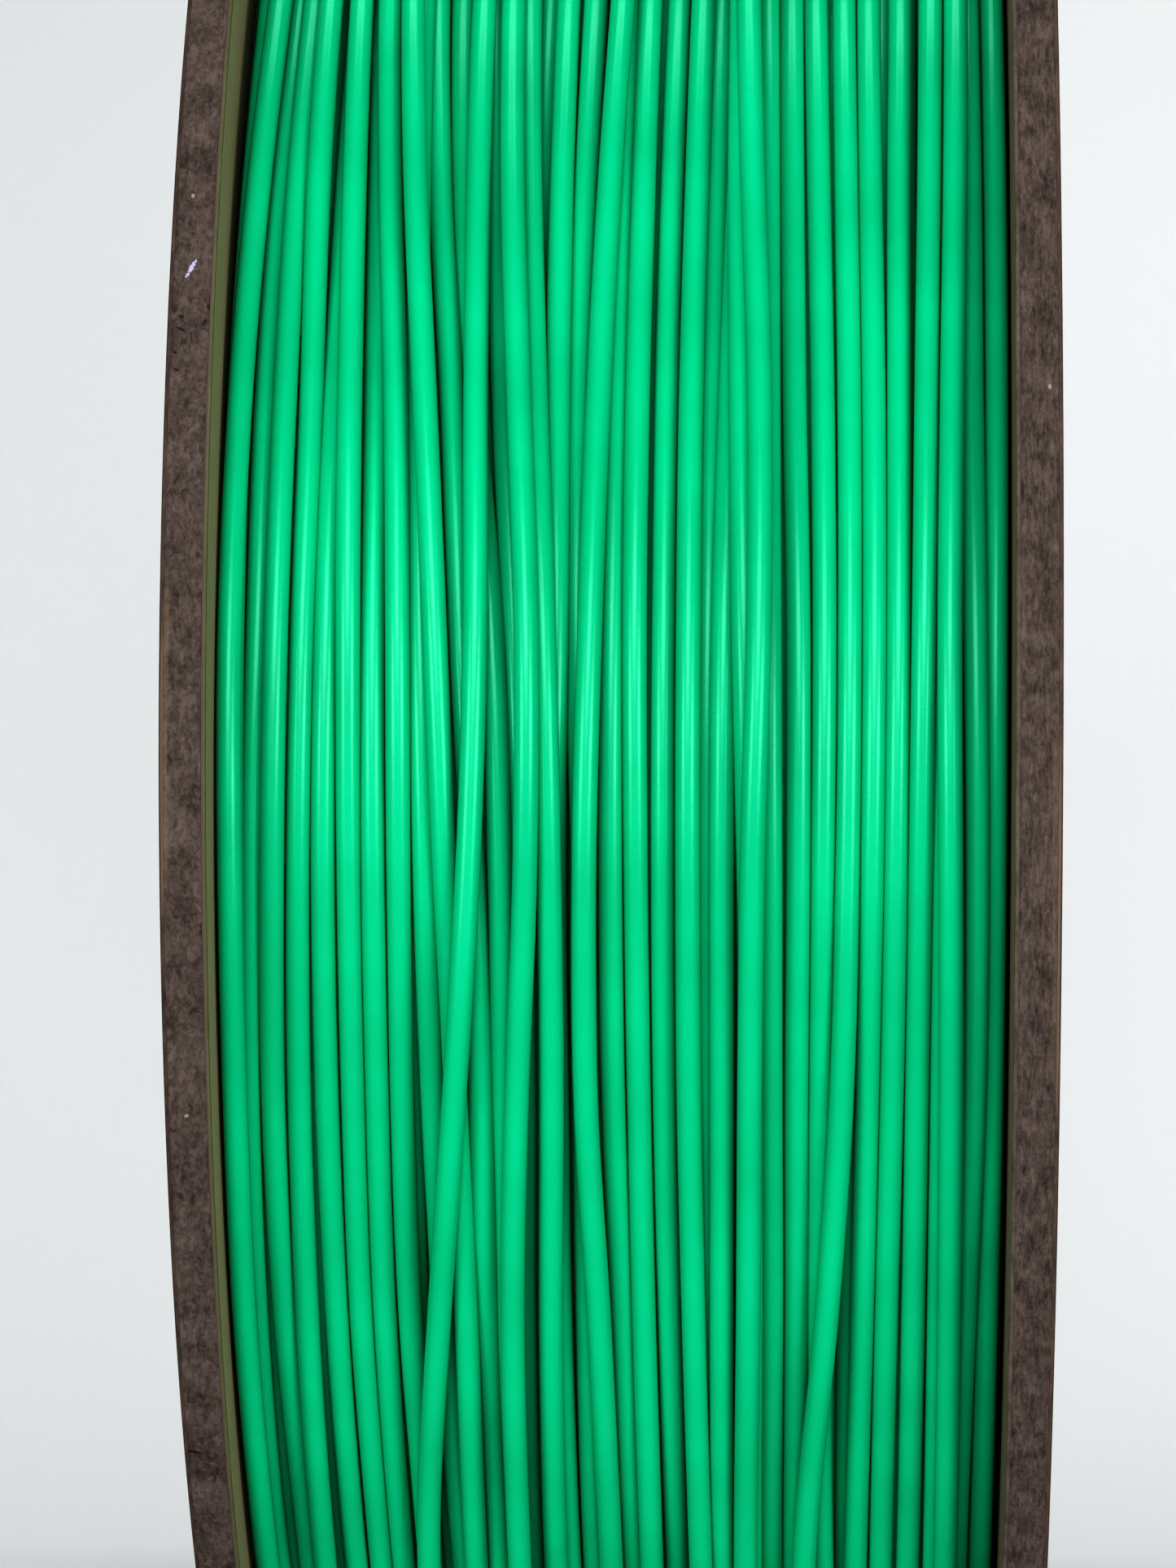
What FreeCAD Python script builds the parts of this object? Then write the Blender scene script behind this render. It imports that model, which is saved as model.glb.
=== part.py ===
import FreeCAD, Part
import os
from math import atan2, cos, pi, radians, sin, sqrt

# A full one kilogram spool of printer filament. Two round greyboard flanges are
# glued to a wound paper tube, and each flange carries a plug ring that sits
# inside the tube's end. The tube carries the filament: a plain pack of all the
# inner layers, and the outer layer wound over it as one unbroken strand.
# The spool's axis is X, Z is up, the front is -Y, and the origin is the middle
# of the bore. Sizes are in millimetres.

# Flanges
flange_diameter = 200.0
bore_diameter = 55.0
board_thickness = 2.6
liner_thickness = 0.3

# Hub
winding_width = 55.0
core_diameter = 102.0
core_wall = 4.0
plug_thickness = 3.0

# Hole near the rim of each flange, where a loose end of filament is tucked
tie_hole_inset = 4.2
tie_hole_angle = 25.0

# Filament, wound until the rims stand this far above its outermost strand
filament_diameter = 1.75
rim_height = 6.5
loop_gap = 1.5
end_bend_radius = 2.0
section_sides = 3

# Fits: four radial ones, and the outer layer's gap to the left flange
plug_glue_line = 0.1
core_slack = 0.1
layer_slack = 0.1
tie_hole_slack = 0.45
flange_slack = 0.3

# The strand's gap to itself is measured on this many points in each loop
gap_points = 120

axis = FreeCAD.Vector(1, 0, 0)
flange_radius = flange_diameter / 2
bore_radius = bore_diameter / 2
core_radius = core_diameter / 2
inner_face = winding_width / 2

# The strand has a faceted section as large in area as the round filament
section_radius = filament_diameter / 2 * sqrt(
    2 * pi / section_sides / sin(2 * pi / section_sides))
section_width = 2 * section_radius * sin(pi / section_sides)
layer_radius = flange_radius - rim_height - filament_diameter / 2

# The outer layer starts beside the left flange and ends in the right one's hole
tie_hole_radius = section_radius + tie_hole_slack
tie_hole_reach = flange_radius - tie_hole_inset
first_x = -inner_face + flange_slack + section_width / 2
last_x = inner_face - end_bend_radius
loops = int((last_x - first_x) / (section_width + loop_gap))
loop_pitch = (last_x - first_x) / loops
lifted_radius = sqrt(tie_hole_reach ** 2 - end_bend_radius ** 2)
last_angle = radians(tie_hole_angle) - atan2(end_bend_radius, lifted_radius)
first_angle = last_angle - 2 * pi * loops

# A strand that climbs along a drum rolls about itself as it goes. Half of that
# roll is set against it at the first end, and the pack leaves room for the rest.
section_roll = (last_x - first_x) / layer_radius / 2
pack_radius = layer_radius - section_radius * cos(pi / section_sides - section_roll) - layer_slack


def circle(x, radius, y=0.0, z=0.0):
    """A closed wire square to the spool's axis."""
    centre = FreeCAD.Vector(x, y, z)
    return Part.Wire(Part.Circle(centre, axis, radius).toShape())


def die_cut(x, thickness, wires):
    """A flat sheet cut by the wires' outlines, from x along the axis."""
    profile = Part.makeFace(wires, "Part::FaceMakerBullseye")
    return profile.extrude(axis * thickness)


def save(node, shape):
    """Write one piece and print what it measures."""
    shape.exportStep(f"parts/{node}.step")
    print(f"{node}: {len(shape.Solids)} solid, {shape.Volume / 1000:.2f} cm3")


def flange_sheet(x, thickness):
    """One layer of a flange, with the bore and the tie-off hole."""
    angle = radians(tie_hole_angle)
    hole_y = tie_hole_reach * cos(angle)
    hole_z = tie_hole_reach * sin(angle)
    outline = circle(x, flange_radius)
    bore = circle(x, bore_radius)
    tie_hole = circle(x, tie_hole_radius, hole_y, hole_z)
    return die_cut(x, thickness, [outline, bore, tie_hole])


def flange(name, side):
    """A flange's three layers, from its inner face outwards, and its plug ring."""
    x = side * inner_face
    plug_radius = core_radius - core_wall - plug_glue_line
    plug = [circle(x, plug_radius), circle(x, bore_radius)]
    save(f"{name}_plug_ring", die_cut(x, -side * plug_thickness, plug))
    layers = [
        ("inner_liner", liner_thickness),
        ("board", board_thickness),
        ("outer_liner", liner_thickness),
    ]
    for layer, thickness in layers:
        save(f"{name}_{layer}", flange_sheet(x, side * thickness))
        x += side * thickness


def core_tube():
    """The wound paper tube between the flanges."""
    wall = [circle(-inner_face, core_radius), circle(-inner_face, core_radius - core_wall)]
    return die_cut(-inner_face, winding_width, wall)


def around(x, radius, angle):
    """A point at an angle about the axis, where 0 is the back and 90 is the top."""
    return FreeCAD.Vector(x, radius * cos(angle), radius * sin(angle))


def heading(angle, slope=0.0):
    """The strand's direction at an angle, where slope is its climb along the axis."""
    direction = FreeCAD.Vector(slope, -sin(angle), cos(angle))
    return direction.normalize()


def loop_point(angle):
    """Where the strand's middle lies on the even stretch of the layer."""
    x = first_x + loop_pitch * (angle - first_angle) / (2 * pi)
    return around(x, layer_radius, angle)


def rise_pocket():
    """The well in the pack that the outer layer's first end comes up out of."""
    back = -end_bend_radius - section_radius - layer_slack
    floor = layer_radius - end_bend_radius - filament_diameter - layer_slack
    outline = [(back, floor), (0, floor), (0, layer_radius), (back, layer_radius)]
    forwards = heading(first_angle)
    outwards = around(0, 1, first_angle)
    corners = [
        axis * -inner_face + forwards * along + outwards * height
        for along, height in outline]
    width = first_x + inner_face + section_radius + layer_slack
    return Part.Face(Part.makePolygon(corners + corners[:1])).extrude(axis * width)


def inner_pack():
    """All the filament under the outer layer, as one plain ring on the tube."""
    bore = circle(-inner_face, core_radius + core_slack)
    ring = die_cut(-inner_face, winding_width, [circle(-inner_face, pack_radius), bore])
    return ring.cut(rise_pocket())


def arc_from(start, direction, end):
    """The arc that leaves start along direction and reaches end."""
    chord = end - start
    side = direction.cross(chord).cross(direction).normalize()
    radius = chord.dot(chord) / (2 * side.dot(chord))
    centre = start + side * radius
    outwards = ((start + end) * 0.5 - centre).normalize()
    return Part.Arc(start, centre + outwards * radius, end).toShape()


def biarc(start, start_direction, end, end_direction):
    """Two tangent arcs between two points with given directions."""
    chord = end - start
    both = start_direction + end_direction
    a = 2 * (1 - start_direction.dot(end_direction))
    b = 2 * chord.dot(both)
    reach = (sqrt(b * b + 4 * a * chord.dot(chord)) - b) / (2 * a)
    first_corner = start + start_direction * reach
    second_corner = end - end_direction * reach
    middle = (first_corner + second_corner) * 0.5
    middle_direction = (second_corner - first_corner).normalize()
    return [
        arc_from(start, start_direction, middle),
        arc_from(middle, middle_direction, end),
    ]


def layer_path():
    """The outer layer's middle line: the rising end, the loops, and the tucked end."""
    half_turn = pi
    slope = loop_pitch / (2 * pi * layer_radius)
    start = around(first_x, layer_radius, first_angle)
    finish = around(last_x, lifted_radius, last_angle)

    outwards = around(0, 1, first_angle)
    rise = start - (heading(first_angle) + outwards) * end_bend_radius
    root = rise - outwards * filament_diameter
    edges = [Part.LineSegment(root, rise).toShape(), arc_from(rise, outwards, start)]

    stations = [(start, heading(first_angle))]
    for count in range(1, 2 * loops):
        angle = first_angle + count * half_turn
        stations.append((loop_point(angle), heading(angle, slope)))
    quarter_left = last_angle - half_turn / 2
    stations.append((loop_point(quarter_left), heading(quarter_left, slope)))
    stations.append((finish, heading(last_angle)))
    for (a, a_direction), (b, b_direction) in zip(stations, stations[1:]):
        edges += biarc(a, a_direction, b, b_direction)

    tuck = finish + heading(last_angle) * end_bend_radius + axis * end_bend_radius
    edges.append(arc_from(finish, heading(last_angle), tuck))
    edges.append(Part.LineSegment(tuck, tuck + axis * filament_diameter).toShape())
    return Part.Wire(edges)


def strand_section(path):
    """The strand's faceted outline at its first end, so that it lies one side inwards."""
    middle = path.OrderedVertexes[0].Point
    ridge = heading(first_angle) * -1
    across = around(0, 1, first_angle).cross(ridge)
    corners = []
    for count in range(section_sides):
        angle = 2 * pi * count / section_sides + section_roll
        corners.append(middle + (ridge * cos(angle) + across * sin(angle)) * section_radius)
    return Part.makePolygon(corners + corners[:1])


def least_gap(path):
    """The strand's least gap to itself, from points along its middle line."""
    spacing = 2 * pi * layer_radius / gap_points
    points = path.discretize(Distance=spacing)
    apart = 3
    least = min(
        a.distanceToPoint(b)
        for i, a in enumerate(points)
        for b in points[i + apart:])
    return least - section_width


def outer_layer():
    """The outer layer as one unbroken strand."""
    path = layer_path()
    gap = least_gap(path)
    print(f"outer layer: {loops} loops, {path.Length / 1000:.2f} m, least gap {gap:.2f} mm")
    sweep = Part.BRepOffsetAPI.MakePipeShell(path)
    sweep.add(strand_section(path))
    sweep.build()
    sweep.makeSolid()
    return sweep.shape()


os.makedirs("parts", exist_ok=True)
flange("left", -1)
flange("right", 1)
save("core_tube", core_tube())
save("filament_inner_pack", inner_pack())
save("filament_outer_layer", outer_layer())
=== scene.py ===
# %% [markdown]
# # A full spool of printer filament
#
# The spool is two round flanges of greyboard on a paper tube, with about a
# kilogram of green strand wound between them. The imported CAD model gives the
# places and sizes. This lesson dresses it: the strand is wound turn by turn, and
# the board and paper get their fibres and worn edges, and painted shade for pits.

import random
from math import cos, pi, radians, sin, sqrt

import bmesh
import bpy
import numpy as np
from mathutils import Matrix, Vector


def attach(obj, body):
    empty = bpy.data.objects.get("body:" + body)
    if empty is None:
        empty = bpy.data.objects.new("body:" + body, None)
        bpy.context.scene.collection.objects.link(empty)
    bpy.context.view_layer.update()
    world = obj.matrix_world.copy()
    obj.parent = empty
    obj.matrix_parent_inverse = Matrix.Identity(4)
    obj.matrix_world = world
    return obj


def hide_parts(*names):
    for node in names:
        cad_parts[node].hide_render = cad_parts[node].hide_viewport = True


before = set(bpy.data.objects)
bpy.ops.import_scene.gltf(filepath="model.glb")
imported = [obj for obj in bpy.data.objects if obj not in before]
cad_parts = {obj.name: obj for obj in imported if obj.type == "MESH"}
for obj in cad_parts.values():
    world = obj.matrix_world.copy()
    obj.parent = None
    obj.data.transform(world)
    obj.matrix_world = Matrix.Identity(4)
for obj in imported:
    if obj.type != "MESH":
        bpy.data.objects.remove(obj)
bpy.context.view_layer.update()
print("nodes:", sorted(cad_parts))

# %% [markdown]
# ## Sizes
#
# The sizes are those of the CAD model, in millimetres, and Blender counts in
# metres. A flange has three layers, so four numbers place them along the axis.
# Its hole near the rim takes the strand's end. It is at the back, so its angle
# from the front is past 90 degrees.

# %% Set the sizes
MM = 0.001
STRAND = 1.75
INNER_FACE, BOARD_IN, BOARD_OUT, OUTER_FACE = 27.5, 27.8, 30.4, 30.7
RIM, BORE = 100.0, 27.5
HOLE_RADIUS, HOLE_REACH, HOLE_ANGLE = 1.811, 95.8, 155.0
print(f"the spool is {2 * RIM:.0f} mm across and {2 * OUTER_FACE:.1f} mm wide")

# %% [markdown]
# ## Camera
#
# The photograph was taken from close to the axis' height with a long lens, a
# little to the right of the middle, and it crops the spool above and below. The
# camera's place came from the curve of the rims: the left one bows out clearly
# and the right one only a little, so the camera stands nearer to the right one. A
# place chosen by eye wouldn't have put both rims on the photograph's.

# %% Set up the camera
IMAGE_HEIGHT = 1927
FOCAL_PIXELS = 6137.0
SENSOR_HEIGHT = 24.0
CAMERA_PLACE = (15.857, -437.945, 6.018)
YAW, PITCH, ROLL = 0.05103, -0.02473, -0.00257


def put(name, data):
    """An object with the given data, put into the scene."""
    thing = bpy.data.objects.new(name, data)
    bpy.context.scene.collection.objects.link(thing)
    return thing


def camera_matrix():
    """The camera looks along +Y before it is turned."""
    turn = (Matrix.Rotation(YAW, 4, "Z") @ Matrix.Rotation(PITCH, 4, "X")
            @ Matrix.Rotation(ROLL, 4, "Y"))
    upright = Matrix.Rotation(pi / 2, 4, "X")
    return Matrix.Translation(Vector(CAMERA_PLACE) * MM) @ turn @ upright


lens = bpy.data.cameras.new("camera")
lens.sensor_fit = "VERTICAL"
lens.sensor_height = SENSOR_HEIGHT
lens.lens = FOCAL_PIXELS * SENSOR_HEIGHT / IMAGE_HEIGHT
camera = put("camera", lens)
camera.matrix_world = camera_matrix()
bpy.context.scene.camera = camera
print(f"lens {lens.lens:.1f} mm on a {SENSOR_HEIGHT:.0f} mm high sensor")

# %% [markdown]
# ## The strand's routes
#
# Printer filament isn't wound in perfect rows. Its turns spread, drift and ride
# over each other, and that is most of what the photograph shows. The last two
# passes of the winding are listed: each turn has its place along the
# spool's axis at eight heights of the front, read off the photograph. The turns
# of the lower pass go from the right flange to the left, and the upper pass
# comes back over them. Under both lies a close, even layer.

# %% Choose the routes
FRONT = (-36, -25, -15, -5, 5, 15, 25, 33)

LOWER_PASS = [
    (26.2, 26.25, 26.35, 26.4, 26.4, 26.45, 26.45, 26.4),
    (24.4, 24.7, 25.1, 25.15, 24.95, 24.7, 24.65, 24.55),
    (22.8, 22.8, 22.85, 22.9, 22.9, 22.8, 22.9, 23.0),
    (14.4, 14.3, 14.4, 14.5, 14.55, 14.35, 14.0, 13.75),
    (10.8, 10.95, 10.9, 10.85, 10.75, 10.6, 10.45, 10.3),
    (6.5, 6.4, 6.35, 6.35, 6.45, 6.6, 6.75, 6.9),
    (7.25, 7.4, 7.5, 7.5, 7.6, 7.95, 8.35, 8.6),
    (9.3, 9.45, 9.45, 9.35, 9.0, 8.7, 8.45, 8.4),
    (0.45, 0.2, -0.15, -0.25, -0.2, -0.05, 0.1, 0.2),
    (-2.3, -2.2, -2.1, -2.15, -2.6, -2.7, -2.5, -2.3),
    (-4.15, -4.15, -4.1, -4.2, -4.0, -4.1, -4.2, -4.2),
    (-5.0, -4.7, -4.35, -4.4, -4.8, -5.6, -6.4, -6.9),
    (-6.9, -6.7, -6.4, -6.45, -7.0, -7.95, -8.8, -9.4),
    (-7.7, -7.7, -7.75, -7.9, -8.5, -10.0, -11.1, -11.7),
    (-9.35, -9.3, -9.35, -9.8, -10.75, -11.5, -12.8, -13.5),
    (-12.2, -12.5, -12.85, -13.2, -13.55, -13.9, -14.3, -14.6),
    (-10.9, -10.75, -11.1, -11.75, -12.4, -13.3, -14.4, -15.1),
    (-16.6, -16.75, -16.75, -16.8, -16.85, -16.9, -17.15, -17.5),
    (-20.1, -20.2, -20.3, -20.3, -20.1, -19.8, -19.5, -19.3),
    (-26.0, -26.0, -25.85, -25.35, -24.85, -24.6, -24.2, -23.8),
    (-26.6, -26.6, -26.6, -26.6, -26.6, -26.5, -26.2, -25.95),
]

UPPER_PASS = [
    (-26.2, -26.4, -26.4, -26.45, -26.5, -26.2, -25.6, -25.1),
    (-23.6, -24.0, -24.1, -23.8, -23.5, -23.2, -22.9, -22.6),
    (-22.25, -22.3, -22.25, -22.05, -21.75, -21.4, -21.35, -21.25),
    (-18.25, -18.45, -18.45, -18.5, -18.5, -18.6, -18.8, -19.0),
    (-14.65, -14.95, -15.0, -15.0, -15.05, -15.4, -16.25, -16.85),
    (-14.1, -12.55, -11.1, -10.0, -9.55, -9.75, -10.0, -10.15),
    (-7.55, -7.35, -6.75, -6.0, -5.95, -6.7, -7.6, -8.05),
    (-1.05, -1.35, -2.0, -2.0, -1.65, -1.25, -0.75, -0.3),
    (1.95, 1.8, 1.65, 1.5, 1.4, 1.45, 1.6, 1.7),
    (3.75, 3.6, 3.45, 3.4, 3.4, 3.45, 3.6, 3.75),
    (5.6, 5.4, 5.2, 5.15, 5.15, 5.2, 5.4, 5.55),
    (9.0, 9.3, 9.45, 9.65, 10.05, 10.0, 9.35, 8.95),
    (12.55, 12.7, 12.7, 12.8, 12.75, 12.4, 12.15, 12.0),
    (13.5, 14.9, 15.85, 16.2, 16.3, 16.2, 15.95, 15.75),
    (17.1, 17.4, 17.65, 17.9, 18.0, 17.9, 17.65, 17.5),
    (18.9, 19.1, 19.35, 19.55, 19.65, 19.65, 19.65, 19.75),
    (20.9, 21.0, 21.1, 21.25, 21.4, 21.55, 21.75, 21.9),
    (23.55, 23.5, 23.45, 23.3, 23.15, 23.3, 23.55, 23.7),
]
EVEN_TURNS = 31
print(f"{EVEN_TURNS} even turns, {len(LOWER_PASS)} in the lower pass and {len(UPPER_PASS)} above")

# %% [markdown]
# The whole winding is one strand, so a turn's end at the top of the front has to
# lead over the back to the next turn's start at the bottom. A smooth curve goes
# through all the places in order, with a little seeded wander where the
# photograph can't see. No turn may enter a flange, so the places stop at a wall.

# %% Join the routes into one strand
STEPS = 180
BACK = (70, 115, 160, 205, 250, 290)
WANDER = 0.35
WALL = INNER_FACE - STRAND / 2 - 0.02

wander = random.Random(11)


def smooth_through(places, values, at):
    """A smooth curve through the values, read at other places."""
    slopes = np.gradient(values, places)
    span = np.clip(np.searchsorted(places, at, side="right") - 1, 0, len(places) - 2)
    width = places[span + 1] - places[span]
    s = (at - places[span]) / width
    return ((2 * s**3 - 3 * s**2 + 1) * values[span]
            + (s**3 - 2 * s**2 + s) * width * slopes[span]
            + (3 * s**2 - 2 * s**3) * values[span + 1]
            + (s**3 - s**2) * width * slopes[span + 1])


def chain(turns):
    """The x places of a pass, as one row of steps for each turn."""
    places, values = [], []
    for count, turn in enumerate(turns):
        places += [360 * count + angle for angle in FRONT]
        values += turn
        if count + 1 < len(turns):
            top, low = turn[-1], turns[count + 1][0]
            for angle in BACK:
                share = (angle - FRONT[-1]) / (360 + FRONT[0] - FRONT[-1])
                places.append(360 * count + angle)
                values.append(top + (low - top) * share + wander.uniform(-WANDER, WANDER))
    at = FRONT[0] + np.arange(STEPS * len(turns)) * 360 / STEPS
    at = np.minimum(at, places[-1])
    line = smooth_through(np.array(places, float), np.array(values, float), at)
    return np.clip(line, -WALL, WALL).reshape(len(turns), STEPS)


passes = chain(LOWER_PASS + UPPER_PASS)
print(f"{len(passes)} turns of {STEPS} steps, from {passes.min():.1f} to {passes.max():.1f} mm")

# %% [markdown]
# The even layer lies under the two passes. It is one steady spiral from the left
# wall to the right one. Behind the spool, out of the camera's view, its last
# CLIMB steps lead over to the first turn of the lower pass.

# %% Lay out the even layer
CLIMB = 60


def soften(share):
    """Go from 0 to 1 with a gentle start and end."""
    return share * share * (3 - 2 * share)


def ease(start, end, count):
    """Values that leave the start and reach the end gently."""
    return start + (end - start) * soften(np.linspace(0, 1, count))


even = np.linspace(-WALL, WALL, EVEN_TURNS * STEPS)
even[-CLIMB:] = ease(even[-CLIMB], passes[0, 0], CLIMB)
xs = np.vstack([even.reshape(EVEN_TURNS, STEPS), passes])
TURNS = len(xs)
print(f"{TURNS} turns, the even ones {2 * WALL / EVEN_TURNS:.2f} mm apart")

# %% [markdown]
# ## How high each turn lies
#
# Each new turn comes down until it touches one laid before it. For round strands
# that is plain geometry: the closer it lies to a neighbour sideways, the higher
# it stands on it. A physics simulation could lay them too, but it wouldn't keep
# each turn at the place that the photograph shows. A stiff strand can't follow a
# sharp step, so each turn's line is widened and smoothed along its length. That
# changes what the later turns touch, so the laying is done again until nothing
# moves.
#
# TOUCH is how high a turn stands straight above another, and LEAN how far aside
# it still rests on it. REACH, SOFTNESS and SPAN are counted in steps.

# %% Lay the turns on each other
TOUCH = STRAND + 0.03
LEAN = 1.6
SWEEPS = 7
REACH = 2
SOFTNESS = 2.2
SPAN = 8
SINK, SINK_START, SINK_WIDTH = 1.3, 23.6, 2.6


def bed(x):
    """The even layer's height: it sinks a little beside the right flange."""
    return -SINK * np.clip((x - SINK_START) / SINK_WIDTH, 0, 1) ** 2


def relax(line):
    """Widen the humps of a line and round them off."""
    longer = np.pad(line, REACH, mode="edge")
    wide = np.max([longer[shift:shift + len(line)] for shift in range(2 * REACH + 1)], axis=0)
    weights = np.exp(-(np.arange(-SPAN, SPAN + 1) / SOFTNESS) ** 2 / 2)
    padded = np.pad(wide, SPAN, mode="edge")
    return np.convolve(padded, weights / weights.sum(), mode="valid")


heights = np.zeros_like(xs)
heights[:EVEN_TURNS] = bed(xs[:EVEN_TURNS])
for sweep in range(SWEEPS):
    before = heights.copy()
    raw = heights.copy()
    for turn in range(EVEN_TURNS, TURNS):
        apart = np.abs(xs[turn] - xs[:turn])
        rise = TOUCH * np.sqrt(np.maximum(1 - (apart / LEAN) ** 2, 0))
        raw[turn] = np.where(apart < LEAN, heights[:turn] + rise, bed(xs[turn])).max(0)
    heights[EVEN_TURNS:] = relax(raw[EVEN_TURNS:].ravel()).reshape(-1, STEPS)
    moved = np.abs(heights - before).max()
    print(f"sweep {sweep}: moved {moved:.2f} mm, highest {heights.max():.2f} mm")

# %% [markdown]
# Where many turns cross, the pile is higher than a real one, because the real
# strand is wound tight and pushes its neighbours aside. So the tops of the piles
# are pressed down, without a change of their order. Then the even layer's end,
# still behind the spool, climbs to the height of the lower pass's first turn.

# %% Press the piles and join the layers
PILE, GIVE = 4.6, 1.2

pressed = PILE + GIVE * (1 - np.exp((PILE - heights) / GIVE))
heights = np.where(heights > PILE, pressed, heights)
print(f"pressed down, highest {heights.max():.2f} mm")
along = heights.ravel()
joint = EVEN_TURNS * STEPS
along[joint - CLIMB:joint] = ease(along[joint - CLIMB], along[joint], CLIMB)
heights = along.reshape(-1, STEPS)
print(f"the joint is {heights[EVEN_TURNS, 0] - bed(WALL):.2f} mm above the even layer")

# %% [markdown]
# ## From heights to a line in space
#
# The strand climbs the front and comes down the back. In its last turn it lifts
# off the others and moves over to the right flange, to the height of the tie-off
# hole. The line is only its middle. Its thickness comes later.

# %% Place the strand's middle line
BED_RADIUS = 90.45
BEND = 2.2
LIFT_FROM = 60


def around(x, radius, angle):
    """A point in metres, where angle 0 is the front and 90 degrees the top."""
    turn = np.radians(angle)
    return np.stack([x, -radius * np.cos(turn), radius * np.sin(turn)], -1) * MM


last_turn = 360 * (TURNS - 1)
bend_angle = HOLE_ANGLE - np.degrees(BEND / HOLE_REACH)
angles = FRONT[0] + np.arange(TURNS * STEPS) * 360 / STEPS
kept = angles <= last_turn + bend_angle
angles, line_x, line_r = angles[kept], xs.ravel()[kept], BED_RADIUS + heights.ravel()[kept]
share = (angles - last_turn - LIFT_FROM) / (bend_angle - LIFT_FROM)
lift = soften(np.clip(share, 0, 1))
leave_x = INNER_FACE - BEND
line_r = line_r * (1 - lift) + HOLE_REACH * lift
line_x = line_x * (1 - lift) + leave_x * lift
points = around(line_x, line_r, angles)
print(f"{len(points)} points, up to {line_r.max():.1f} mm from the axis")

# %% [markdown]
# The photograph doesn't show where the loose end is. Such spools have a small
# hole near the rim for it, so here it is tucked into the right flange's hole. The
# line bends through a quarter of a circle and goes on into the board.

# %% Bend the end into the hole
END_X = 29.4

turn_in = np.radians(np.arange(10, 91, 10))
bend_x = leave_x + BEND * (1 - np.cos(turn_in))
bend_along = HOLE_ANGLE - np.degrees(BEND / HOLE_REACH) * (1 - np.sin(turn_in))
bend = around(bend_x, np.full_like(bend_x, HOLE_REACH), bend_along)
tip = around(np.array([END_X]), np.array([HOLE_REACH]), np.array([HOLE_ANGLE]))
points = np.vstack([points, bend, tip])
length = np.linalg.norm(np.diff(points, axis=0), axis=1).sum()
print(f"{len(points)} points, {length:.1f} m of strand")

# %% [markdown]
# ## Helpers for nodes
#
# Blender's geometry and its materials are both made of nodes. Three helpers keep
# the rest short: one feeds a node's inputs, each from a value or from another
# node, one makes a node, and one makes a tree with named inputs and outputs.

# %% Write the node helpers
def feed(tree, target, inputs):
    """Give a node its inputs, each as a value or as a socket to link."""
    for key, value in inputs.items():
        if isinstance(value, bpy.types.NodeSocket):
            tree.links.new(value, target.inputs[key])
        else:
            target.inputs[key].default_value = value


def node(tree, kind, inputs, **settings):
    """A new node with its settings and inputs."""
    made = tree.nodes.new(kind)
    for setting, value in settings.items():
        setattr(made, setting, value)
    feed(tree, made, inputs)
    return made


def new_tree(name, kind, inputs, outputs):
    """An empty tree with named inputs and outputs, and the sockets of its inputs."""
    tree = bpy.data.node_groups.new(name, kind)
    for label, socket_kind, value in inputs:
        socket = tree.interface.new_socket(
            label, in_out="INPUT", socket_type="NodeSocket" + socket_kind)
        if value is not None:
            socket.default_value = value
    for label, socket_kind in outputs:
        tree.interface.new_socket(
            label, in_out="OUTPUT", socket_type="NodeSocket" + socket_kind)
    return tree, tree.nodes.new("NodeGroupInput").outputs


print("node helpers: feed, node, new_tree")

# %% [markdown]
# ## The strand as a tube
#
# Geometry Nodes turn the line into a round tube: the mesh line becomes a curve,
# and a circle is swept along it. A curve object with a round bevel would look the
# same. The tree was chosen because its thickness and number of sides are inputs,
# so the lower turns, which are hardly seen, can be made plainer.

# %% Build the tube tree
def strand_tree():
    """Sweep a circle along a mesh line."""
    tree, given = new_tree("wind_strand", "GeometryNodeTree", [
        ("Geometry", "Geometry", None),
        ("Thickness", "Float", STRAND * MM),
        ("Sides", "Int", 16),
        ("Material", "Material", None),
    ], [("Geometry", "Geometry")])
    curve = node(tree, "GeometryNodeMeshToCurve", {"Mesh": given["Geometry"]})
    half = node(tree, "ShaderNodeMath", {0: given["Thickness"], 1: 2.0}, operation="DIVIDE")
    circle = node(tree, "GeometryNodeCurvePrimitiveCircle", {
        "Resolution": given["Sides"], "Radius": half.outputs[0]})
    tube = node(tree, "GeometryNodeCurveToMesh", {
        "Curve": curve.outputs["Curve"], "Profile Curve": circle.outputs["Curve"],
        "Fill Caps": True})
    smooth = node(tree, "GeometryNodeSetShadeSmooth", {"Geometry": tube.outputs["Mesh"]})
    real = node(tree, "GeometryNodeRealizeInstances", {"Geometry": smooth.outputs["Geometry"]})
    dressed = node(tree, "GeometryNodeSetMaterial", {
        "Geometry": real.outputs["Geometry"], "Material": given["Material"]})
    node(tree, "NodeGroupOutput", {"Geometry": dressed.outputs["Geometry"]})
    return tree


tube_tree = strand_tree()
print("tree:", tube_tree.name, "with", len(tube_tree.nodes), "nodes")

# %% [markdown]
# ## Helpers for materials
#
# Each material is a small tree of nodes on Object coordinates, so a pattern stays
# where it is on the piece. These helpers give the usual steps short names: a
# noise, a blend, a soft step between two values, and a bump.

# %% Write the material helpers
MIX_SOCKETS = {"FLOAT": (0, 2, 3, 0), "VECTOR": (0, 4, 5, 1), "RGBA": (0, 6, 7, 2)}


def principled(name):
    """A new material with its tree, its shader, and its Object coordinates."""
    material = bpy.data.materials.new(name)
    material.use_nodes = True
    tree = material.node_tree
    where = tree.nodes.new("ShaderNodeTexCoord").outputs["Object"]
    return material, tree, tree.nodes["Principled BSDF"], where


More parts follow.
